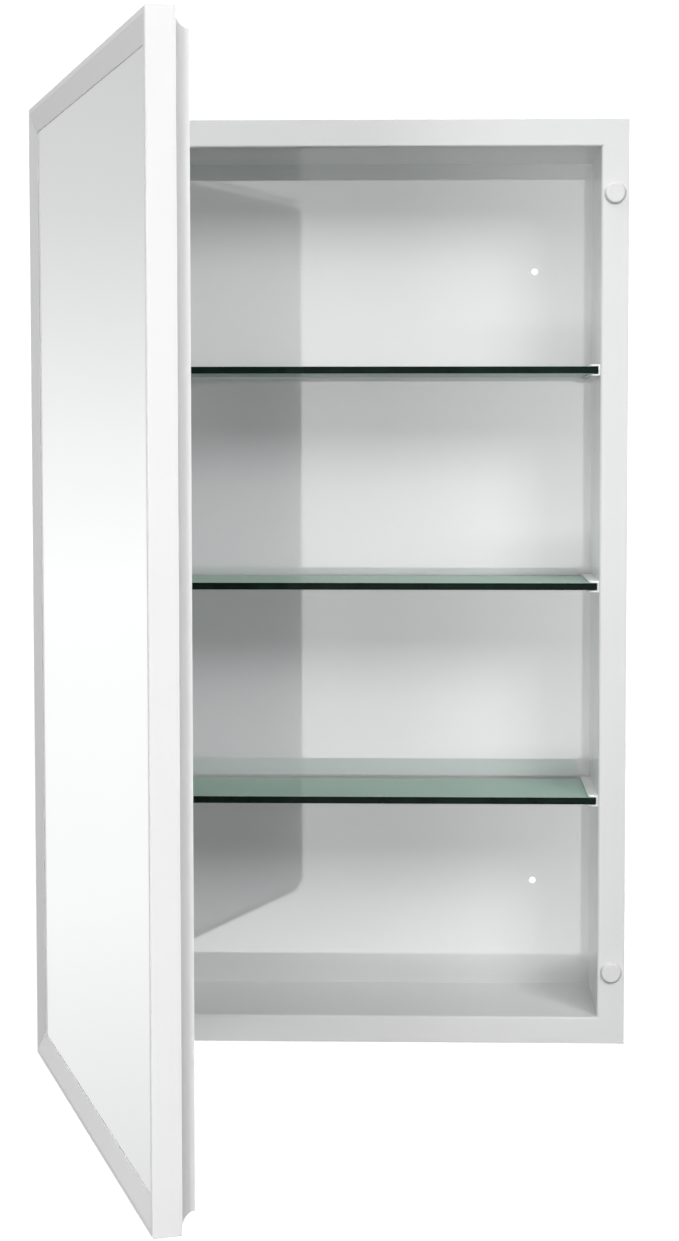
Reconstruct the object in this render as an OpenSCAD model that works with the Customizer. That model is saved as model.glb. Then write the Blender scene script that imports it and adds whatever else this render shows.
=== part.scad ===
// Recessed wall cabinet with a framed mirror door.
// Origin: centre of the four fixing holes, on the rear face of the back panel.
// X to the right, Y into the wall, Z up. The front faces -Y.

/* [Cabinet] */
// overall width of the face flange
flange_out_w = 387.4; // [370:0.1:420]
// overall height of the face flange
flange_out_h = 647.7; // [600:0.1:700]
// width of the flange all round the opening
flange_w = 19; // [18:0.1:24]
// depth from the flange front to the rear face
body_depth = 101.6; // [98:0.1:130]
// thickness of the panels
sheet = 1.2; // [1:0.1:1.5]
// radius of the fold between flange and wall
fold_r = 1.8; // [1.6:0.1:2.5]
// distance between the fixing holes across
hole_dx = 265; // [240:1:270]
// distance between the fixing holes up and down
hole_dz = 453; // [420:1:460]
// radius of a fixing hole
hole_r = 2.5; // [2:0.1:3]

/* [Shelves] */
// distance from one shelf to the next
shelf_pitch = 151.2; // [140:0.1:155]
// thickness of the glass
glass_t = 5; // [4:0.1:6]
// depth of the glass from front to back
glass_depth = 91; // [80:0.5:91]
// set-back of the glass behind the flange front
glass_setback = 1.6; // [1.5:0.1:3]
// width of a channel lip, from the wall
lip_w = 6.8; // [6:0.1:9]
// thickness of the channel lips and web
lip_t = 1.2; // [1:0.1:1.5]
// radius of the rounded front corner of a lip
lip_r = 2.5; // [1:0.5:4]

/* [Bumpers] */
// distance of a bumper from the middle height
bumper_z = 273; // [260:1:280]
// radius of the bumper base
bumper_r = 7.5; // [7:0.1:8]
// radius of the bumper face
bumper_face_r = 6.3; // [6:0.1:6.6]
// height of the bumper
bumper_h = 3; // [2.8:0.1:3]

/* [Door] */
// angle at which the door stands open
door_open = 71; // [0:1:98]
// overall width of the door
door_w = 400; // [396:0.5:402]
// overall height of the door
door_h = 660.4; // [655:0.1:664]
// thickness of the front frame
frame_t = 15.5; // [14:0.5:16]
// thickness of the back board, and depth of the cove
back_t = 10.5; // [9:0.5:11]
// gap between door and flange when closed
door_gap = 3.2; // [3.2:0.1:3.4]
// width of the cove round the back board
cove_w = 10; // [9:0.5:11]
// width of the flat outer lip of the frame
lip_flat = 4; // [3:0.5:5]
// width of the bevel inside the lip
bevel_w = 14; // [12:0.5:16]
// fall of the bevel towards the mirror
bevel_drop = 3; // [2:0.5:3]
// depth of the mirror behind the bevel edge
mirror_inset = 0.5; // [0.5:0.5:1]
// thickness of the mirror
mirror_t = 3; // [3:0.5:4]

/* [Hinges] */
// distance of a hinge from the middle height
hinge_z = 215; // [200:1:230]
// length of a hinge
hinge_len = 60; // [55:1:70]
// thickness of the hinge leaves
leaf_t = 1; // [0.9:0.05:1]
// radius of the hinge barrel
barrel_r = 2.5; // [2.4:0.1:2.6]
// radius of the hinge pin
pin_r = 1.2; // [1.1:0.1:1.3]

/* [Hidden] */
$fn = 48;
e = 0.01;
open_w = flange_out_w - 2 * flange_w;
open_h = flange_out_h - 2 * flange_w;
xi = open_w / 2;
zi = open_h / 2;
xo = flange_out_w / 2;
zo = flange_out_h / 2;
yf = -body_depth;
yb = -sheet;
// rails and shelves
slot_h = glass_t + 0.4;
rail_h = slot_h + 2 * lip_t;
rail_y0 = yf + glass_setback + 1;
stop_y = yf + glass_setback + glass_depth + 0.3;
rail_y1 = stop_y + lip_t;
glass_x = xi - lip_t - 0.5;
rivet_r = 1.5;
rivet_ys = [rail_y0 + 16, rail_y1 - 18];
// bumpers, magnets and strike discs
bumper_x = xo - flange_w / 2;
magnet_r = 4;
magnet_t = 2;
strike_t = 1.5;
// door, drawn closed: u runs in from the outer edge, v forward from the back
door_x = door_w / 2;
door_z = door_h / 2;
door_t = frame_t + back_t;
yd = yf - door_gap;
cove_d = back_t;
sight = lip_flat + bevel_w;
rebate_u = sight - 6;
mirror_v = door_t - bevel_drop - mirror_inset;
pane_x = door_x - rebate_u - 0.5;
pane_z = door_z - rebate_u - 0.5;
// hinges
px = -door_x + barrel_r;
py = yf - 5;
bore_r = pin_r + 0.05;
knuckles = 5;
knuckle_gap = 0.2;
knuckle_h = hinge_len / knuckles;
leaf_x0 = px + barrel_r + 2;
leaf_x1 = -xi - 2.6;
door_leaf_x0 = px + barrel_r + 4;
door_leaf_x1 = door_leaf_x0 + 20;
screw_x = door_leaf_x0 + 12;
leaf_rivet_x = -xi - 9.5;
leaf_hole_zs = [-22, 0, 22];

// turns the closed door to the angle it stands at
module hung() {
  translate([px, py, 0]) rotate([0, 0, -door_open]) translate([-px, -py, 0]) children();
}

// raises an outline drawn in X and Z from y0 back to y1
module upright(y0, y1) {
  translate([0, y1, 0]) rotate([90, 0, 0]) linear_extrude(y1 - y0) children();
}

// keeps the part of a border piece between its two mitres; right-hand piece
module mitre_x(ax, az, w) {
  upright(-2 * body_depth, 10)
    polygon([[ax - w, az - w], [ax + 2, az + 2], [ax + 2, -az - 2], [ax - w, -az + w]]);
}

module mitre_z(ax, az, w) {
  upright(-2 * body_depth, 10)
    polygon([[ax - w, az - w], [ax + 2, az + 2], [-ax - 2, az + 2], [-ax + w, az - w]]);
}

// section of a wall and its flange: first axis out from the wall face, second into the wall
function fold_arc(r, c, n) = [for (i = [0:n]) [c - r * cos(90 * i / n), c - r * sin(90 * i / n)]];

module wall_section() {
  polygon(concat(
    fold_arc(fold_r, fold_r, 8),
    [[flange_w, 0], [flange_w, sheet]],
    [for (i = [8:-1:0]) let (p = fold_arc(fold_r - sheet, fold_r, 8)[i]) p],
    [[sheet, body_depth - sheet], [0, body_depth - sheet]]
  ));
}

module side_right_blank() {
  intersection() {
    translate([xi, yf, -zo - 1]) linear_extrude(2 * zo + 2) wall_section();
    mitre_x(xo, zo, flange_w + 1);
  }
}

module top_blank() {
  intersection() {
    translate([-xo - 1, yf, zi]) rotate([90, 0, 90]) linear_extrude(2 * xo + 2) mirror([1, -1, 0]) wall_section();
    mitre_z(xo, zo, flange_w + 1);
  }
}

module rivet_holes(s) {
  for (z = [-1, 0, 1] * shelf_pitch, y = rivet_ys)
    translate([s * (xi - 1), y, z]) rotate([0, s * 90, 0]) cylinder(h = sheet + 3, r = rivet_r);
}

module side_left() {
  color("gainsboro") difference() {
    mirror([1, 0, 0]) side_right_blank();
    rivet_holes(-1);
    for (s = [-1, 1], z = leaf_hole_zs)
      translate([leaf_rivet_x, yf - 1, s * hinge_z + z]) rotate([-90, 0, 0]) cylinder(h = sheet + 2, r = rivet_r);
  }
}

module side_right() {
  color("gainsboro") difference() {
    side_right_blank();
    rivet_holes(1);
  }
}

module top_panel() {
  color("gainsboro") top_blank();
}

module bottom_panel() {
  color("gainsboro") mirror([0, 0, 1]) top_blank();
}

module back_panel() {
  color("silver") difference() {
    translate([-xi - sheet, yb, -zi - sheet]) cube([2 * (xi + sheet), sheet, 2 * (zi + sheet)]);
    for (sx = [-1, 1], sz = [-1, 1])
      translate([sx * hole_dx / 2, yb - 1, sz * hole_dz / 2]) rotate([-90, 0, 0]) cylinder(h = sheet + 2, r = hole_r);
  }
}

module shelf(z) {
  color("darkseagreen", 0.6) translate([-glass_x, yf + glass_setback, z - glass_t / 2])
    cube([2 * glass_x, glass_depth, glass_t]);
}

module shelf_upper() { shelf(shelf_pitch); }
module shelf_middle() { shelf(0); }
module shelf_lower() { shelf(-shelf_pitch); }

// countersink of a channel rivet, from the web face towards the wall
module rivet_sink() {
  cylinder(h = 0.6, r1 = 2.3, r2 = rivet_r);
}

// channel seen from above: its free front corner is rounded
module rail_plan() {
  difference() {
    square([lip_w, rail_y1 - rail_y0]);
    translate([lip_w - lip_r, -1]) difference() {
      square([lip_r + 1, lip_r + 1]);
      translate([0, lip_r + 1]) circle(r = lip_r);
    }
  }
}

module rail(s, z) {
  color("white") translate([s * xi, 0, z]) mirror([s > 0 ? 1 : 0, 0, 0]) difference() {
    translate([0, rail_y0, -rail_h / 2]) linear_extrude(rail_h) rail_plan();
    translate([lip_t, rail_y0 - 1, -slot_h / 2]) cube([lip_w, stop_y - rail_y0 + 1, slot_h]);
    for (y = rivet_ys) {
      translate([-1, y, 0]) rotate([0, 90, 0]) cylinder(h = lip_t + 2, r = rivet_r);
      translate([lip_t, y, 0]) rotate([0, -90, 0]) rivet_sink();
    }
  }
}

module rail_upper_l() { rail(-1, shelf_pitch); }
module rail_upper_r() { rail(1, shelf_pitch); }
module rail_middle_l() { rail(-1, 0); }
module rail_middle_r() { rail(1, 0); }
module rail_lower_l() { rail(-1, -shelf_pitch); }
module rail_lower_r() { rail(1, -shelf_pitch); }

// rivet with a sunk head and a round tail behind the sheet; axis along +Z, head at 0
module rivet(grip) {
  rivet_sink();
  cylinder(h = grip, r = rivet_r);
  translate([0, 0, grip]) cylinder(h = 1, r1 = 2.5, r2 = 1.6);
}

module rail_rivets() {
  color("silver") for (s = [-1, 1], z = [-1, 0, 1] * shelf_pitch, y = rivet_ys)
    translate([s * (xi - lip_t), y, z]) rotate([0, s * 90, 0]) rivet(lip_t + sheet);
}

module bumper(z) {
  color("white") translate([bumper_x, yf, z]) rotate([90, 0, 0]) difference() {
    rotate_extrude() polygon([[0, 0], [bumper_r, 0], [bumper_r, 0.6], [bumper_face_r + 0.2, bumper_h - 0.3],
      [bumper_face_r - 0.4, bumper_h], [0, bumper_h]]);
    translate([0, 0, -1]) cylinder(h = magnet_t + 1.05, r = magnet_r + 0.05);
  }
}

module bumper_upper() { bumper(bumper_z); }
module bumper_lower() { bumper(-bumper_z); }

module catch_magnets() {
  color("dimgray") for (s = [-1, 1])
    translate([bumper_x, yf, s * bumper_z]) rotate([90, 0, 0]) cylinder(h = magnet_t, r = magnet_r);
}

// knuckles of one leaf: the even ones or the odd ones, bored for the pin
module knuckle_set(first, r) {
  for (i = [first:2:knuckles - 1])
    translate([0, 0, -hinge_len / 2 + i * knuckle_h + knuckle_gap / 2]) cylinder(h = knuckle_h - knuckle_gap, r = r);
}

module knuckle_slab(first, x0, x1, y0, y1) {
  for (i = [first:2:knuckles - 1])
    translate([x0, y0, -hinge_len / 2 + i * knuckle_h + knuckle_gap / 2]) cube([x1 - x0, y1 - y0, knuckle_h - knuckle_gap]);
}

module hinge_frame(z) {
  color("silver") translate([0, 0, z]) difference() {
    union() {
      translate([leaf_x0, yf - leaf_t, -hinge_len / 2]) cube([leaf_x1 - leaf_x0, leaf_t, hinge_len]);
      knuckle_slab(0, px + barrel_r - leaf_t, leaf_x0 + e, yf - leaf_t, yf);
      knuckle_slab(0, px + barrel_r - leaf_t, px + barrel_r, py, yf - leaf_t + e);
      translate([px, py, 0]) knuckle_set(0, barrel_r);
    }
    translate([px, py, -hinge_len]) cylinder(h = 2 * hinge_len, r = bore_r);
    for (h = leaf_hole_zs) translate([leaf_rivet_x, yf - leaf_t, h]) rotate([-90, 0, 0]) {
      translate([0, 0, -1]) cylinder(h = leaf_t + 2, r = rivet_r);
      rivet_sink();
    }
  }
}

module hinge_frame_upper() { hinge_frame(hinge_z); }
module hinge_frame_lower() { hinge_frame(-hinge_z); }

module hinge_rivets() {
  color("silver") for (s = [-1, 1], h = leaf_hole_zs)
    translate([leaf_rivet_x, yf - leaf_t, s * hinge_z + h]) rotate([-90, 0, 0]) rivet(leaf_t + sheet);
}

module hinge_pins() {
  color("silver") for (s = [-1, 1]) translate([px, py, s * hinge_z]) {
    translate([0, 0, -hinge_len / 2 - 0.5]) cylinder(h = hinge_len + 1, r = pin_r);
    for (t = [0, 1]) mirror([0, 0, t]) translate([0, 0, hinge_len / 2 + 0.3]) cylinder(h = 1.2, r1 = 2, r2 = 1.4);
  }
}

// countersunk wood screw of a door leaf; axis along +Z, head at 0
module wood_screw() {
  cylinder(h = 0.6, r1 = 2.3, r2 = 1.5);
  cylinder(h = 9, r = 1.5);
  translate([0, 0, 9]) cylinder(h = 3, r1 = 1.5, r2 = 0.3);
}

module screw_places() {
  for (s = [-1, 1], h = leaf_hole_zs)
    translate([screw_x, yd + leaf_t, s * hinge_z + h]) rotate([90, 0, 0]) children();
}

module hinge_door(z) {
  color("silver") hung() difference() {
    translate([0, 0, z]) union() {
      translate([door_leaf_x0, yd, -hinge_len / 2]) cube([door_leaf_x1 - door_leaf_x0, leaf_t, hinge_len]);
      knuckle_slab(1, px, door_leaf_x0 + e, yd, yd + leaf_t);
      translate([px, py, 0]) knuckle_set(1, barrel_r);
    }
    translate([px, py, z - hinge_len]) cylinder(h = 2 * hinge_len, r = bore_r);
    screw_places() wood_screw();
  }
}

module hinge_door_upper() { hinge_door(hinge_z); }
module hinge_door_lower() { hinge_door(-hinge_z); }

module hinge_screws() {
  color("silver") hung() screw_places() wood_screw();
}

// section of the front frame: first axis in from the outer edge, second forward
module frame_section() {
  polygon([
    [0, back_t], [0, door_t - 0.6], [0.6, door_t], [lip_flat, door_t],
    [sight - 0.3, door_t - bevel_drop], [sight, door_t - bevel_drop - 0.3],
    [sight, mirror_v], [rebate_u, mirror_v], [rebate_u, back_t]
  ]);
}

// splines lie across the mitres, inside the frame
module spline_shapes() {
  for (sx = [-1, 1], sz = [-1, 1])
    translate([sx * (door_x - 7), yd - back_t - 8, sz * (door_z - 7)]) rotate([0, sx * sz * 45, 0])
      translate([-4.5, 0, -0.75]) cube([9, 7, 1.5]);
}

module stile_blank() {
  intersection() {
    translate([door_x, yd, -door_z]) linear_extrude(door_h) rotate(180) frame_section();
    mitre_x(door_x, door_z, sight + 1);
  }
}

module rail_blank() {
  intersection() {
    translate([-door_x, yd, door_z]) rotate([90, 0, 90]) linear_extrude(door_w) mirror([1, 1, 0]) frame_section();
    mitre_z(door_x, door_z, sight + 1);
  }
}

module door_stile_hinge() {
  color("whitesmoke") hung() difference() {
    mirror([1, 0, 0]) stile_blank();
    spline_shapes();
  }
}

module door_stile_free() {
  color("whitesmoke") hung() difference() {
    stile_blank();
    spline_shapes();
  }
}

module door_rail_top() {
  color("whitesmoke") hung() difference() {
    rail_blank();
    spline_shapes();
  }
}

module door_rail_bottom() {
  color("whitesmoke") hung() difference() {
    mirror([0, 0, 1]) rail_blank();
    spline_shapes();
  }
}

module corner_splines() {
  color("burlywood") hung() spline_shapes();
}

module mirror_glass() {
  color("lightsteelblue") hung() translate([-pane_x, yd - mirror_v, -pane_z])
    cube([2 * pane_x, mirror_t, 2 * pane_z]);
}

module door_core() {
  color("tan") hung() difference() {
    translate([-pane_x, yd - mirror_v + mirror_t, -pane_z])
      cube([2 * pane_x, mirror_v - mirror_t - back_t, 2 * pane_z]);
    screw_places() wood_screw();
  }
}

// half outline of the coved board: the long axis from the edge, the short one forward
function cove_pts(half) = [for (i = [0:12]) [half - cove_w * cos(90 * i / 12), cove_d * sin(90 * i / 12)]];

module board_section(half) {
  polygon(concat(
    [for (p = cove_pts(half)) [p[0], -p[1] * (1 - 0.1)]],
    [[half, -back_t], [-half, -back_t]],
    [for (i = [12:-1:0]) let (p = cove_pts(half)[i]) [-p[0], -p[1] * (1 - 0.1)]]
  ));
}

module door_back() {
  color("whitesmoke") hung() difference() {
    intersection() {
      translate([0, yd, -door_z]) linear_extrude(door_h) board_section(door_x);
      translate([-door_x, yd, 0]) rotate([90, 0, 90]) linear_extrude(door_w) mirror([1, -1, 0]) board_section(door_z);
    }
    screw_places() wood_screw();
    for (s = [-1, 1]) translate([bumper_x, yd + 1, s * bumper_z]) rotate([90, 0, 0])
      cylinder(h = strike_t + 1.05, r = magnet_r + 0.05);
  }
}

module strike_discs() {
  color("silver") hung() for (s = [-1, 1])
    translate([bumper_x, yd, s * bumper_z]) rotate([90, 0, 0]) cylinder(h = strike_t, r = magnet_r);
}

side_left();
side_right();
top_panel();
bottom_panel();
back_panel();
shelf_upper();
shelf_middle();
shelf_lower();
rail_upper_l();
rail_upper_r();
rail_middle_l();
rail_middle_r();
rail_lower_l();
rail_lower_r();
rail_rivets();
bumper_upper();
bumper_lower();
catch_magnets();
hinge_frame_upper();
hinge_frame_lower();
hinge_rivets();
hinge_pins();
door_stile_hinge();
door_stile_free();
door_rail_top();
door_rail_bottom();
mirror_glass();
door_core();
door_back();
corner_splines();
hinge_door_upper();
hinge_door_lower();
hinge_screws();
strike_discs();
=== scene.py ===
import math

import bmesh
import bpy
from mathutils import Euler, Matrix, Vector


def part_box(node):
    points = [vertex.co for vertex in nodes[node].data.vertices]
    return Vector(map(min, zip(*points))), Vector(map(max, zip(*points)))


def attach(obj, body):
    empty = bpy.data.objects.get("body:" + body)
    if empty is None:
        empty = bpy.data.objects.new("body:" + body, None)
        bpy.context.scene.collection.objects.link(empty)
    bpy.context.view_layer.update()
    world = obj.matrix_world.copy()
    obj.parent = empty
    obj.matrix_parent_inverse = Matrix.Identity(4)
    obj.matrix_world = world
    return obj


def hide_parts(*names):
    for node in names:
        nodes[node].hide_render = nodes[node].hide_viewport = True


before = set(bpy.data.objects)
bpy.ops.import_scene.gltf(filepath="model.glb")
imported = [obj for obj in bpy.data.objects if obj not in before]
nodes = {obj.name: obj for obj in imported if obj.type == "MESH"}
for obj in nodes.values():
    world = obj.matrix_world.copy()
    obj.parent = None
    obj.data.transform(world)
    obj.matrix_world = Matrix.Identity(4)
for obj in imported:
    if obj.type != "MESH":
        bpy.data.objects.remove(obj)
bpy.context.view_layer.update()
scene = bpy.context.scene

face_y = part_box("side_right")[0][1]        # front of the flange
bottom_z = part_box("bottom_panel")[0][2]    # underside of the body


# ---------------------------------------------------------------- node helpers
def link(tree, output, target):
    tree.links.new(output, target)


def new_material(name):
    material = bpy.data.materials.new(name)
    material.use_nodes = True
    tree = material.node_tree
    return material, tree, tree.nodes["Principled BSDF"]


def coords(tree, scale=(1, 1, 1)):
    """Object coordinates in metres, times scale."""
    place = tree.nodes.new("ShaderNodeTexCoord")
    mapping = tree.nodes.new("ShaderNodeMapping")
    mapping.inputs["Scale"].default_value = scale
    link(tree, place.outputs["Object"], mapping.inputs["Vector"])
    return mapping.outputs["Vector"]


def noise(tree, vec, scale, detail, rough=0.5):
    n = tree.nodes.new("ShaderNodeTexNoise")
    n.inputs["Scale"].default_value = scale
    n.inputs["Detail"].default_value = detail
    n.inputs["Roughness"].default_value = rough
    link(tree, vec, n.inputs["Vector"])
    return n.outputs["Fac"]


def ramp(tree, fac, stops):
    """A colour ramp; each stop is a position and an RGB colour."""
    r = tree.nodes.new("ShaderNodeValToRGB")
    elements = r.color_ramp.elements
    while len(elements) < len(stops):
        elements.new(0.5)
    for element, (position, colour) in zip(elements, stops):
        element.position = position
        element.color = (*colour, 1.0)
    link(tree, fac, r.inputs["Fac"])
    return r.outputs["Color"]


def span(tree, fac, low, high, start=0.0, stop=1.0):
    """Takes start..stop to low..high."""
    r = tree.nodes.new("ShaderNodeMapRange")
    r.inputs["From Min"].default_value = start
    r.inputs["From Max"].default_value = stop
    r.inputs["To Min"].default_value = low
    r.inputs["To Max"].default_value = high
    link(tree, fac, r.inputs["Value"])
    return r.outputs["Result"]


def blend(tree, a, b, fac, kind="RGBA"):
    """Mixes two colours or two numbers; each is a socket or a constant."""
    m = tree.nodes.new("ShaderNodeMix")
    m.data_type = kind
    link(tree, fac, m.inputs["Factor"])
    ends = [s for s in m.inputs if s.name in "AB" and s.enabled]
    for socket, value in zip(ends, (a, b)):
        if isinstance(value, bpy.types.NodeSocket):
            link(tree, value, socket)
        else:
            socket.default_value = value
    return [s for s in m.outputs if s.enabled][0]


def bump(tree, height, strength, distance, shader):
    b = tree.nodes.new("ShaderNodeBump")
    b.inputs["Strength"].default_value = strength
    b.inputs["Distance"].default_value = distance
    link(tree, height, b.inputs["Height"])
    link(tree, b.outputs["Normal"], shader.inputs["Normal"])


# ---------------------------------------------------------------- material recipes
PAINT_DRIFT = 9.0          # noise scale of the slow change in colour
PAINT_GLOSS = 40.0         # noise scale of the uneven gloss
GLOSS_SHARE = 0.15         # how far the roughness strays either way
PAINT_PEEL = 300.0         # noise scale of the orange peel
PEEL_DEPTH = 0.0002
COAT_ROUGH = 0.06

GLASS_CLEAR = ((0.66, 0.84, 0.76), (0.69, 0.86, 0.78))
GLASS_GREEN = ((0.255, 0.405, 0.335), (0.275, 0.425, 0.355))
GLASS_RIM = ((0.001, 0.006, 0.004), (0.003, 0.014, 0.009))
FACE_ON, GLANCING = 0.35, 0.88         # Layer Weight facing where the tint starts and is full
RIM_FULL, RIM_NONE = 0.35, 0.75        # Z of the normal where the rim's colour starts to fade and is gone
THROUGH_CLEAR, THROUGH_GREEN, THROUGH_RIM = 0.85, 0.22, 0.05
GLASS_ROUGH = (0.015, 0.04)
GLASS_COAT, GLASS_COAT_ROUGH = 0.2, 0.02
GLASS_IOR = 1.5

BOARD_COLOURS = ((0.42, 0.29, 0.17), (0.60, 0.44, 0.28))
BOARD_FIBRES = 260.0                   # noise scale
BOARD_ROUGH = (0.7, 0.9)
BOARD_FUZZ = 0.0003                    # height of the fibres
BRUSH_LINES = (1400.0, 1400.0, 30.0)   # the fine lines of the plating run along Z


def two_tone(tree, vec, scale, detail, tones, low=0.3, high=0.7):
    """A colour that drifts between two tones with a noise."""
    return ramp(tree, noise(tree, vec, scale, detail), [(low, tones[0]), (high, tones[1])])


def paint(name, colour, rough, vary, metallic=0.0, peel=0.0, coat=0.0, specular=0.5):
    """Lacquer, enamel or silvering, drifting a little in colour and gloss; peel adds an orange peel."""
    material, tree, shader = new_material(name)
    vec = coords(tree)
    tones = ([max(0.0, c * (1 - vary)) for c in colour], [min(1.0, c * (1 + vary)) for c in colour])
    link(tree, two_tone(tree, vec, PAINT_DRIFT, 4.0, tones, 0.35, 0.65), shader.inputs["Base Color"])
    gloss = noise(tree, vec, PAINT_GLOSS, 2.0)
    uneven = span(tree, gloss, rough * (1 - GLOSS_SHARE), rough * (1 + GLOSS_SHARE))
    link(tree, uneven, shader.inputs["Roughness"])
    shader.inputs["Metallic"].default_value = metallic
    shader.inputs["Specular IOR Level"].default_value = specular
    shader.inputs["Coat Weight"].default_value = coat
    shader.inputs["Coat Roughness"].default_value = COAT_ROUGH
    if peel:
        bump(tree, noise(tree, vec, PAINT_PEEL, 2.0), peel, PEEL_DEPTH, shader)
    return material


def glass(name):
    """Float glass: clear face on, green at a glancing angle, nearly black on the upright edges."""
    material, tree, shader = new_material(name)
    vec = coords(tree)
    place = tree.nodes.new("ShaderNodeTexCoord")
    axes = tree.nodes.new("ShaderNodeSeparateXYZ")
    link(tree, place.outputs["Normal"], axes.inputs["Vector"])
    level = tree.nodes.new("ShaderNodeMath")
    level.operation = "ABSOLUTE"
    link(tree, axes.outputs["Z"], level.inputs[0])
    edge = span(tree, level.outputs[0], 1.0, 0.0, RIM_FULL, RIM_NONE)
    weight = tree.nodes.new("ShaderNodeLayerWeight")
    glance = span(tree, weight.outputs["Facing"], 0.0, 1.0, FACE_ON, GLANCING)
    clear = two_tone(tree, vec, 6.0, 3.0, GLASS_CLEAR)
    green = two_tone(tree, vec, 6.0, 3.0, GLASS_GREEN)
    rim = two_tone(tree, vec, 55.0, 4.0, GLASS_RIM, 0.35, 0.65)
    face = blend(tree, clear, green, glance)
    link(tree, blend(tree, face, rim, edge), shader.inputs["Base Color"])
    face_through = span(tree, glance, THROUGH_CLEAR, THROUGH_GREEN)
    link(tree, blend(tree, face_through, THROUGH_RIM, edge, "FLOAT"), shader.inputs["Transmission Weight"])
    link(tree, span(tree, noise(tree, vec, 30.0, 4.0), *GLASS_ROUGH), shader.inputs["Roughness"])
    shader.inputs["IOR"].default_value = GLASS_IOR
    shader.inputs["Specular IOR Level"].default_value = 0.0
    shader.inputs["Coat Weight"].default_value = GLASS_COAT
    shader.inputs["Coat Roughness"].default_value = GLASS_COAT_ROUGH
    return material


def board(name):
    """Raw fibreboard."""
    material, tree, shader = new_material(name)
    fibres = noise(tree, coords(tree), BOARD_FIBRES, 6.0, 0.7)
    dark, pale = BOARD_COLOURS
    link(tree, ramp(tree, fibres, [(0.3, dark), (0.7, pale)]), shader.inputs["Base Color"])
    link(tree, span(tree, fibres, *BOARD_ROUGH), shader.inputs["Roughness"])
    bump(tree, fibres, 0.4, BOARD_FUZZ, shader)
    return material


def steel(name, colour, rough):
    """Plated steel with fine upright lines."""
    material, tree, shader = new_material(name)
    lines = noise(tree, coords(tree, BRUSH_LINES), 1.0, 4.0, 0.6)
    tones = ([c * 0.9 for c in colour], colour)
    link(tree, two_tone(tree, coords(tree), 60.0, 3.0, tones, 0.35, 0.65), shader.inputs["Base Color"])
    link(tree, span(tree, lines, rough * 0.7, rough * 1.3), shader.inputs["Roughness"])
    shader.inputs["Metallic"].default_value = 1.0
    bump(tree, lines, 0.15, 0.00005, shader)
    return material


# ---------------------------------------------------------------- materials
enamel = paint("enamel_grey", (0.70, 0.705, 0.705), 0.14, 0.012, metallic=0.18, peel=0.02, specular=0.01)
enamel_back = paint("enamel_back", (0.82, 0.82, 0.825), 0.035, 0.01, metallic=0.5, specular=0.0)
channel = paint("channel_white", (0.84, 0.84, 0.84), 0.36, 0.01, peel=0.05)
lacquer = paint("lacquer_white", (0.735, 0.735, 0.735), 0.36, 0.01, peel=0.06, coat=0.1, specular=0.3)
pad = paint("pad_white", (0.66, 0.66, 0.66), 0.42, 0.02, peel=0.1, specular=0.3)
silvering = paint("mirror_silver", (0.95, 0.96, 0.96), 0.012, 0.004, metallic=1.0)
shelf_glass = glass("shelf_glass")
raw_board = board("raw_board")
plated = steel("plated_steel", (0.62, 0.62, 0.63), 0.20)
dark_steel = steel("magnet_steel", (0.30, 0.30, 0.31), 0.42)

# a node takes the first material whose start fits its name; what no other start fits is plated steel
LOOKS = [
    ("rail_rivets", plated), ("rail_", channel),
    ("side_", enamel), ("top_panel", enamel), ("bottom_panel", enamel), ("back_panel", enamel_back),
    ("shelf_", shelf_glass), ("bumper_", pad), ("catch_magnets", dark_steel),
    ("mirror_glass", silvering), ("door_core", raw_board), ("corner_splines", raw_board),
    ("door_", lacquer), ("", plated),
]
for name, obj in nodes.items():
    look = next(material for start, material in LOOKS if name.startswith(start))
    if not obj.data.materials:
        obj.data.materials.append(look)
    for material_slot in obj.material_slots:
        material_slot.material = look


# ---------------------------------------------------------------- softened edges on the CAD nodes
# bevel width by the start of the node's name
EDGES = {
    "shelf_": 0.0005, "door_stile": 0.0004, "door_rail": 0.0004,
    "bumper": 0.0003, "mirror_glass": 0.0003,
}
WELD_GAP = 0.00001
EDGE_ANGLE = math.radians(35)


def soften(obj, width):
    weld = obj.modifiers.new("weld", "WELD")
    weld.merge_threshold = WELD_GAP
    bevel = obj.modifiers.new("edges", "BEVEL")
    bevel.width = width
    bevel.segments = 2
    bevel.limit_method = "ANGLE"
    bevel.angle_limit = EDGE_ANGLE
    bevel.harden_normals = True
    bevel.use_clamp_overlap = True


for name, obj in nodes.items():
    for start, width in EDGES.items():
        if name.startswith(start):
            soften(obj, width)


# ---------------------------------------------------------------- cross-recessed hinge screws
HEAD_CONE = 0.0006                             # depth of the countersunk head
SHANK_SHARE = 0.65                             # shank radius over head radius
TIP_START = 0.75                               # where the point starts, along the screw
TIP_SHARE = 0.2                                # tip radius over shank radius
LIP_INSET, LIP_DEPTH = 0.97, 0.04              # the head's softened lip, in head radii
SLOT_HALF, SLOT_ARM = 0.00030, 0.00125         # half width and reach of the recess at its mouth
BASE_HALF, BASE_ARM = SLOT_HALF * 0.6, SLOT_ARM * 0.5    # the same at its base
SLOT_DEPTH = 0.0008
TURNS = 32                                     # points round a screw
FIRST_TURN, NEXT_TURN = 0.35, 1.1              # how far each recess is turned, in radians
SAME_POINT, SAME_PLANE = 1e-6, 1e-5


def loose_parts(name):
    """The points of each loose part of a node, from the lowest part to the highest."""
    bm = bmesh.new()
    bm.from_mesh(nodes[name].data)
    bmesh.ops.remove_doubles(bm, verts=bm.verts, dist=SAME_POINT)
    bm.verts.index_update()
    seen = set()
    parts = []
    for first in bm.verts:
        if first.index in seen:
            continue
        seen.add(first.index)
        queue = [first]
        for vert in queue:
            for edge in vert.link_edges:
                other = edge.other_vert(vert)
                if other.index not in seen:
                    seen.add(other.index)
                    queue.append(other)
        parts.append([vert.co.copy() for vert in queue])
    bm.free()
    return sorted(parts, key=lambda part: min(p.z for p in part))


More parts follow.
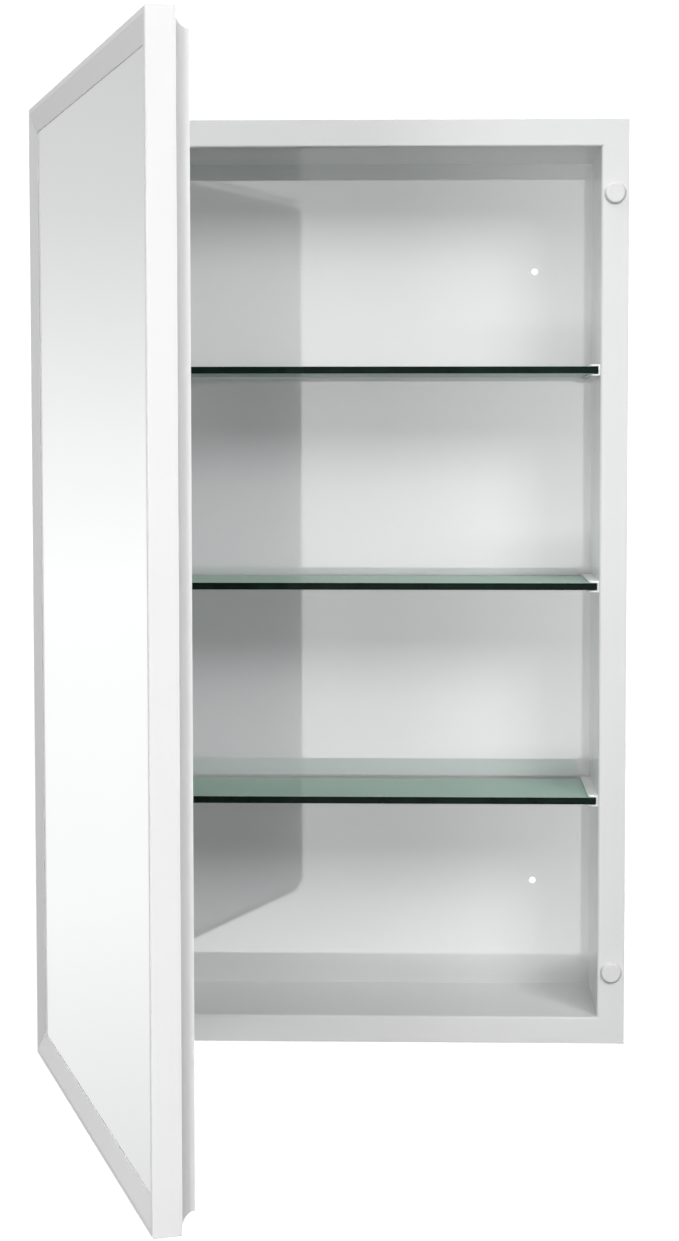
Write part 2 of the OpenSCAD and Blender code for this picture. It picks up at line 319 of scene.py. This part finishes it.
def ring(bm, centre, side, up, radius):
    verts = []
    for i in range(TURNS):
        angle = 2 * math.pi * i / TURNS
        spoke = side * math.cos(angle) + up * math.sin(angle)
        verts.append(bm.verts.new(centre + spoke * radius))
    return verts


def cross(bm, centre, side, up, half, arm):
    """The twelve corners of a plus sign, in order round it."""
    verts = []
    for _ in range(4):
        for x, y in ((arm, -half), (arm, half), (half, half)):
            verts.append(bm.verts.new(centre + side * x + up * y))
        side, up = up, -side
    return verts


def wall(bm, one, two):
    """Faces between two loops that have the same number of points."""
    for i in range(len(one)):
        j = (i + 1) % len(one)
        bm.faces.new((one[i], one[j], two[j], two[i]))


def loop_edges(bm, loop):
    return [bm.edges.get((loop[i - 1], loop[i])) for i in range(len(loop))]


def screw(bm, part, out, turn):
    """One wood screw in the place of its CAD solid; out points from the shank to the head."""
    depths = [p.dot(out) for p in part]
    top = max(depths)
    length = top - min(depths)
    face = [p for p, d in zip(part, depths) if top - d < SAME_PLANE]
    head = sum(face, Vector()) / len(face)
    radius = max((p - head).length for p in face)
    shank = radius * SHANK_SHARE
    up = Vector((0, 0, 1))
    side = up.cross(out).normalized()
    profile = [
        (0.0, radius * LIP_INSET),
        (radius * LIP_DEPTH, radius),
        (HEAD_CONE, shank),
        (length * TIP_START, shank),
        (length, shank * TIP_SHARE),
    ]
    loops = [ring(bm, head - out * depth, side, up, r) for depth, r in profile]
    for one, two in zip(loops, loops[1:]):
        wall(bm, one, two)
    bm.faces.new(loops[-1])
    turned_side = side * math.cos(turn) + up * math.sin(turn)
    turned_up = up * math.cos(turn) - side * math.sin(turn)
    mouth = cross(bm, head, turned_side, turned_up, SLOT_HALF, SLOT_ARM)
    base = cross(bm, head - out * SLOT_DEPTH, turned_side, turned_up, BASE_HALF, BASE_ARM)
    wall(bm, mouth, base)
    bm.faces.new(base)
    bmesh.ops.triangle_fill(bm, edges=loop_edges(bm, loops[0]) + loop_edges(bm, mouth), use_beauty=True)


# the heads look the way the door's back does: along the normal of its largest face turned to +Y
back_faces = nodes["door_back"].data.polygons
door_out = max((f for f in back_faces if f.normal.y > 0), key=lambda f: f.area).normal.copy()

screws_mesh = bpy.data.meshes.new("cross_screws")
screws_bm = bmesh.new()
for i, part in enumerate(loose_parts("hinge_screws")):
    screw(screws_bm, part, door_out, FIRST_TURN + NEXT_TURN * i)
bmesh.ops.recalc_face_normals(screws_bm, faces=screws_bm.faces)
screws_bm.to_mesh(screws_mesh)
screws_bm.free()
screws_mesh.materials.append(plated)
cross_screws = bpy.data.objects.new("cross_screws", screws_mesh)
scene.collection.objects.link(cross_screws)
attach(cross_screws, "door")
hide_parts("hinge_screws")


# ---------------------------------------------------------------- camera
CAMERA_AWAY = 1.6          # in front of the flange
CAMERA_RIGHT, CAMERA_UP = 0.067, 0.100
PITCH_DOWN, YAW_LEFT = math.radians(3.5), math.radians(1.5)

lens = bpy.data.cameras.new("camera")
camera = bpy.data.objects.new("camera", lens)
scene.collection.objects.link(camera)
scene.camera = camera
camera.location = (CAMERA_RIGHT, face_y - CAMERA_AWAY, CAMERA_UP)
camera.rotation_euler = Euler((math.pi / 2 - PITCH_DOWN, 0, YAW_LEFT), "XYZ")
lens.sensor_fit = "VERTICAL"
lens.sensor_height = 36.0
lens.lens = 66.376
lens.shift_x = -0.0371
lens.shift_y = -0.0298
lens.clip_start = 0.01
lens.clip_end = 60


# ---------------------------------------------------------------- floor
FLOOR_HALF = 15.0
FLOOR_BACK = 8.0           # y of the floor's middle
FLOOR_DROP = 2.0           # the cabinet hangs this far above the floor
FLOOR_TONES = ((0.93, 0.93, 0.93), (0.95, 0.95, 0.95))

floor_mesh = bpy.data.meshes.new("floor")
floor_bm = bmesh.new()
corners = ((-1, -1), (1, -1), (1, 1), (-1, 1))
floor_bm.faces.new([floor_bm.verts.new((x * FLOOR_HALF, y * FLOOR_HALF, 0)) for x, y in corners])
floor_bm.to_mesh(floor_mesh)
floor_bm.free()
floor = bpy.data.objects.new("floor", floor_mesh)
floor.location = (0, FLOOR_BACK, bottom_z - FLOOR_DROP)
scene.collection.objects.link(floor)

# the floor glows, so it shows white; it neither lights the cabinet nor mirrors in it
floor_look, floor_tree, floor_shader = new_material("floor_pale")
floor_tone = two_tone(floor_tree, coords(floor_tree), 3.0, 2.0, FLOOR_TONES)
link(floor_tree, floor_tone, floor_shader.inputs["Base Color"])
floor_shader.inputs["Roughness"].default_value = 0.9
floor_shader.inputs["Emission Color"].default_value = (1, 1, 1, 1)
floor_shader.inputs["Emission Strength"].default_value = 1.0
floor_mesh.materials.append(floor_look)
floor.visible_diffuse = False
floor.visible_glossy = False


# ---------------------------------------------------------------- studio seen in the mirror and the gloss
# brightness by height, from straight down (0) over the horizon (0.5) to straight up (1)
ROOM = [(0.0, 0.08), (0.30, 0.20), (0.38, 0.85), (0.50, 1.0), (0.56, 0.82), (0.66, 0.45), (1.0, 0.3)]
LEFT = [
    (0.0, 0.03), (0.25, 0.45), (0.355, 0.83), (0.40, 0.97), (0.47, 1.03),
    (0.50, 0.93), (0.52, 0.84), (0.55, 0.71), (0.58, 0.65), (1.0, 0.5),
]
BEHIND = (1.15, 1.15, 1.15, 1.0)       # the white backdrop behind the cabinet
BEHIND_FROM, BEHIND_FULL = 0.6, 0.8    # along +Y
LEFT_FULL, LEFT_TO = -0.42, -0.30      # along X

world = bpy.data.worlds.new("studio")
scene.world = world
world.use_nodes = True
sky = world.node_tree
background = sky.nodes["Background"]
sky_place = sky.nodes.new("ShaderNodeTexCoord")
sky_axes = sky.nodes.new("ShaderNodeSeparateXYZ")
link(sky, sky_place.outputs["Generated"], sky_axes.inputs["Vector"])
height = span(sky, sky_axes.outputs["Z"], 0.0, 1.0, -1.0, 1.0)
room = ramp(sky, height, [(at, (grey, grey, grey)) for at, grey in ROOM])
left = ramp(sky, height, [(at, (grey, grey, grey)) for at, grey in LEFT])
to_backdrop = span(sky, sky_axes.outputs["Y"], 0.0, 1.0, BEHIND_FROM, BEHIND_FULL)
off_left = span(sky, sky_axes.outputs["X"], 0.0, 1.0, LEFT_FULL, LEFT_TO)
room_and_backdrop = blend(sky, room, BEHIND, to_backdrop)
link(sky, blend(sky, left, room_and_backdrop, off_left), background.inputs["Color"])
background.inputs["Strength"].default_value = 1.0
world.cycles_visibility.diffuse = False


# ---------------------------------------------------------------- soft lights
# where each stands, what it faces, its size and its power; none shows in gloss or through the glass
LIGHTS = {
    "key": ((-0.15, face_y - 3.2, 2.45), (0, face_y, 0), (2.4, 2.0), 70),
    "right_key": ((1.4, face_y - 2.4, 1.6), (0, face_y, 0), (1.0, 1.0), 54),
    "left_fill": ((-1.6, face_y - 0.7, 2.4), (-0.15, face_y - 0.2, 0), (1.2, 1.2), 33),
    "low_fill": ((-0.7, face_y - 2.2, -0.6), (0, face_y, -0.2), (0.5, 0.35), 14),
    "floor_fill": ((-0.5, face_y - 1.4, 0), (-0.1, face_y, -0.33), (0.3, 0.3), 2.4),
    "door_fill": ((2.0, face_y + 0.25, -0.5), (-0.25, face_y - 0.2, -0.15), (0.4, 0.5), 9),
    "back_left": ((-1.6, 2.2, 0.7), (0, 0, 0), (1.6, 1.6), 45),
    "back_right": ((1.6, 2.2, 0.5), (0, 0, 0), (1.6, 1.6), 35),
    "top": ((0.1, 0.6, 2.6), (0, 0, 0), (1.6, 1.6), 30),
}


def area(name, place, target, size, power):
    lamp = bpy.data.lights.new(name, "AREA")
    lamp.shape = "RECTANGLE"
    lamp.size, lamp.size_y = size
    lamp.energy = power
    obj = bpy.data.objects.new(name, lamp)
    obj.location = place
    obj.rotation_euler = (Vector(target) - Vector(place)).to_track_quat("-Z", "Y").to_euler()
    obj.visible_glossy = False
    obj.visible_transmission = False
    scene.collection.objects.link(obj)


for name, (place, target, size, power) in LIGHTS.items():
    area(name, place, target, size, power)

scene.view_settings.view_transform = "Standard"
scene.view_settings.look = "None"
